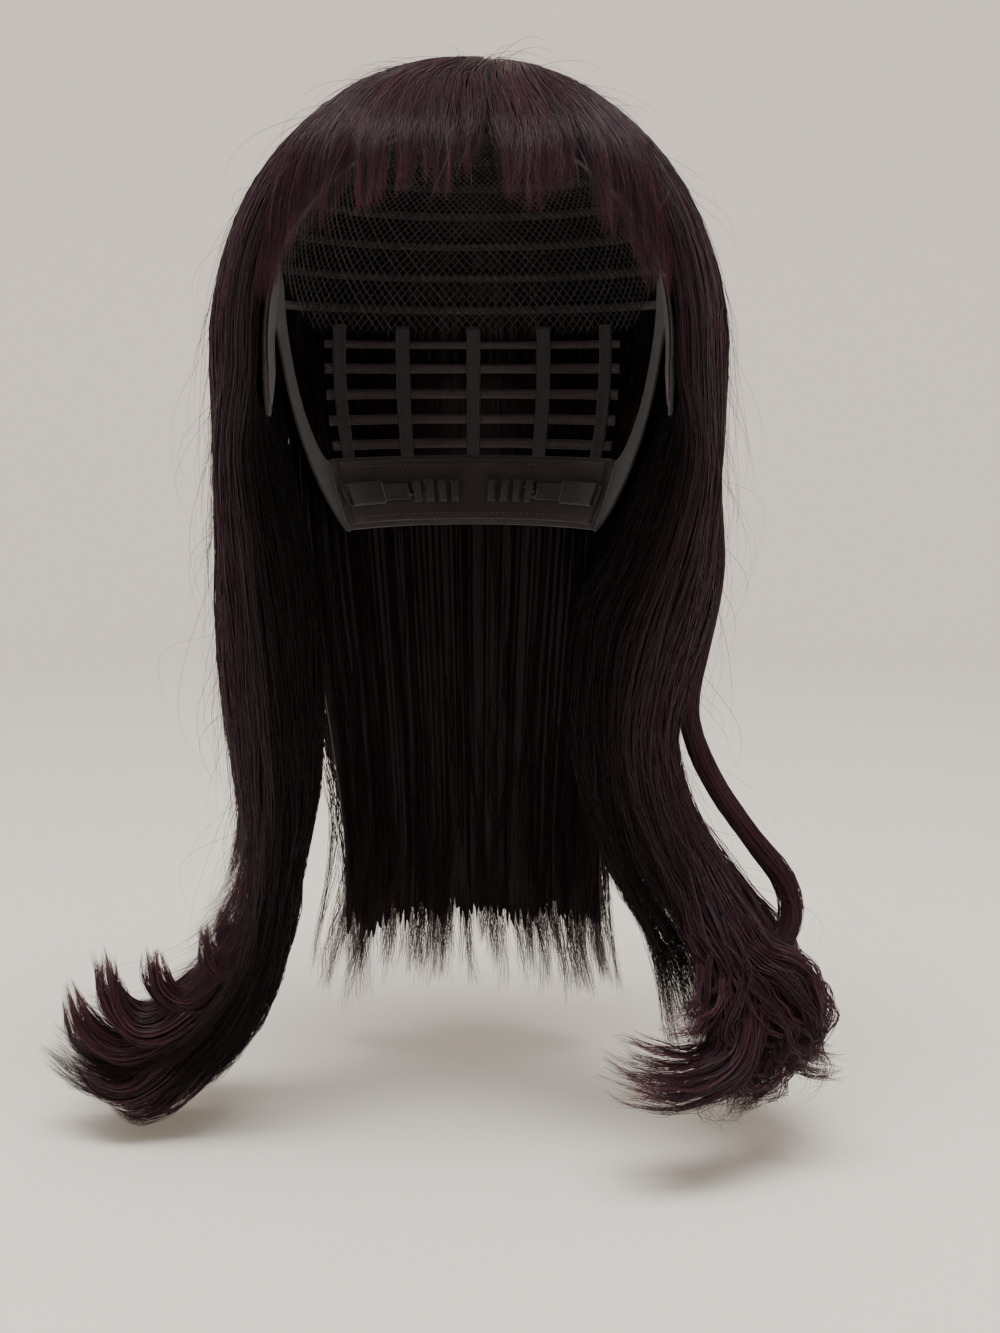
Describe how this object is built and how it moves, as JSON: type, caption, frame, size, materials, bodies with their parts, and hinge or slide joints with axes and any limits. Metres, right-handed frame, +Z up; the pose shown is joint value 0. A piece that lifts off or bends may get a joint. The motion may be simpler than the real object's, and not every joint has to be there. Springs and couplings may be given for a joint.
{
  "type": "costume wig",
  "caption": "Long straight wig with a wispy fringe and flicked side locks, sewn as wefts on a stretch cap with ear tabs and hooked nape straps.",
  "frame": {"origin": "middle of the head that the cap fits, at its widest level over the ears", "axes": "+Z up through the crown, -Y out of the face, +X towards the wearer's left"},
  "size_m": [0.3217, 0.209, 0.4083],
  "materials": {
    "hair": "dark plum synthetic fibre with a soft sheen",
    "net": "open stretch net",
    "skin_top": "sheer woven crown patch",
    "band": "matt stretch band",
    "velvet": "short velvet pile",
    "elastic": "ribbed elastic",
    "track": "stitched weft thread",
    "steel": "black lacquered steel"
  },
  "bodies": {
    "cap": {"crown_net": "net", "crown_patch": "skin_top", "front_band": "band", "forehead_lining": "velvet", "nape_band": "band", "nape_lining": "velvet", "ear_tab_left": "band", "ear_tab_right": "band", "ear_lining_left": "velvet", "ear_lining_right": "velvet", "ear_stay_left": "steel", "ear_stay_right": "steel", "side_elastic_left": "elastic", "side_elastic_right": "elastic", "back_rib_1": "elastic", "back_rib_2": "elastic", "back_rib_3": "elastic", "back_rib_4": "elastic", "back_rib_5": "elastic", "crown_track_1": "track", "crown_track_2": "track", "crown_track_3": "track", "crown_track_4": "track", "crown_track_5": "track", "crown_track_6": "track", "crown_track_7": "track", "crown_track_8": "track", "nape_track_1": "track", "nape_track_2": "track", "nape_track_3": "track", "nape_track_4": "track", "nape_track_5": "track", "fringe_track_1": "track", "fringe_track_2": "track", "fringe_track_3": "track", "strap_casing_left": "elastic", "strap_casing_right": "elastic", "hook_loops_left": "elastic", "hook_loops_right": "elastic", "crown_hair": "hair", "fringe_hair": "hair", "side_hair_left": "hair", "side_hair_right": "hair", "back_hair": "hair"},
    "left_lock": {"lock_left_main": "hair", "lock_left_wave": "hair", "lock_left_flick": "hair", "lock_left_tail": "hair"},
    "right_lock": {"lock_right": "hair"},
    "back_curtain": {"back_curtain": "hair", "nape_hair": "hair"},
    "left_adjuster": {"adjuster_strap_left": "elastic", "adjuster_hook_left": "steel"},
    "right_adjuster": {"adjuster_strap_right": "elastic", "adjuster_hook_right": "steel"}
  },
  "joints": [
    {"name": "left_lock_swing", "type": "hinge", "parent": "cap", "child": "left_lock", "pos_m": [0.071, 0.006, -0.036], "axis": [0, -1, 0], "range_deg": [0, 25]},
    {"name": "right_lock_swing", "type": "hinge", "parent": "cap", "child": "right_lock", "pos_m": [-0.071, 0.006, -0.036], "axis": [0, 1, 0], "range_deg": [0, 25]},
    {"name": "back_curtain_lift", "type": "hinge", "parent": "cap", "child": "back_curtain", "pos_m": [0, 0.062, -0.075], "axis": [1, 0, 0], "range_deg": [0, 20]},
    {"name": "left_adjuster_slide", "type": "hinge", "parent": "cap", "child": "left_adjuster", "pos_m": [0, 0.0244, -0.058], "axis": [0, 0, 1], "range_deg": [0, 18]},
    {"name": "right_adjuster_slide", "type": "hinge", "parent": "cap", "child": "right_adjuster", "pos_m": [0, 0.0244, -0.058], "axis": [0, 0, -1], "range_deg": [0, 18]}
  ]
}
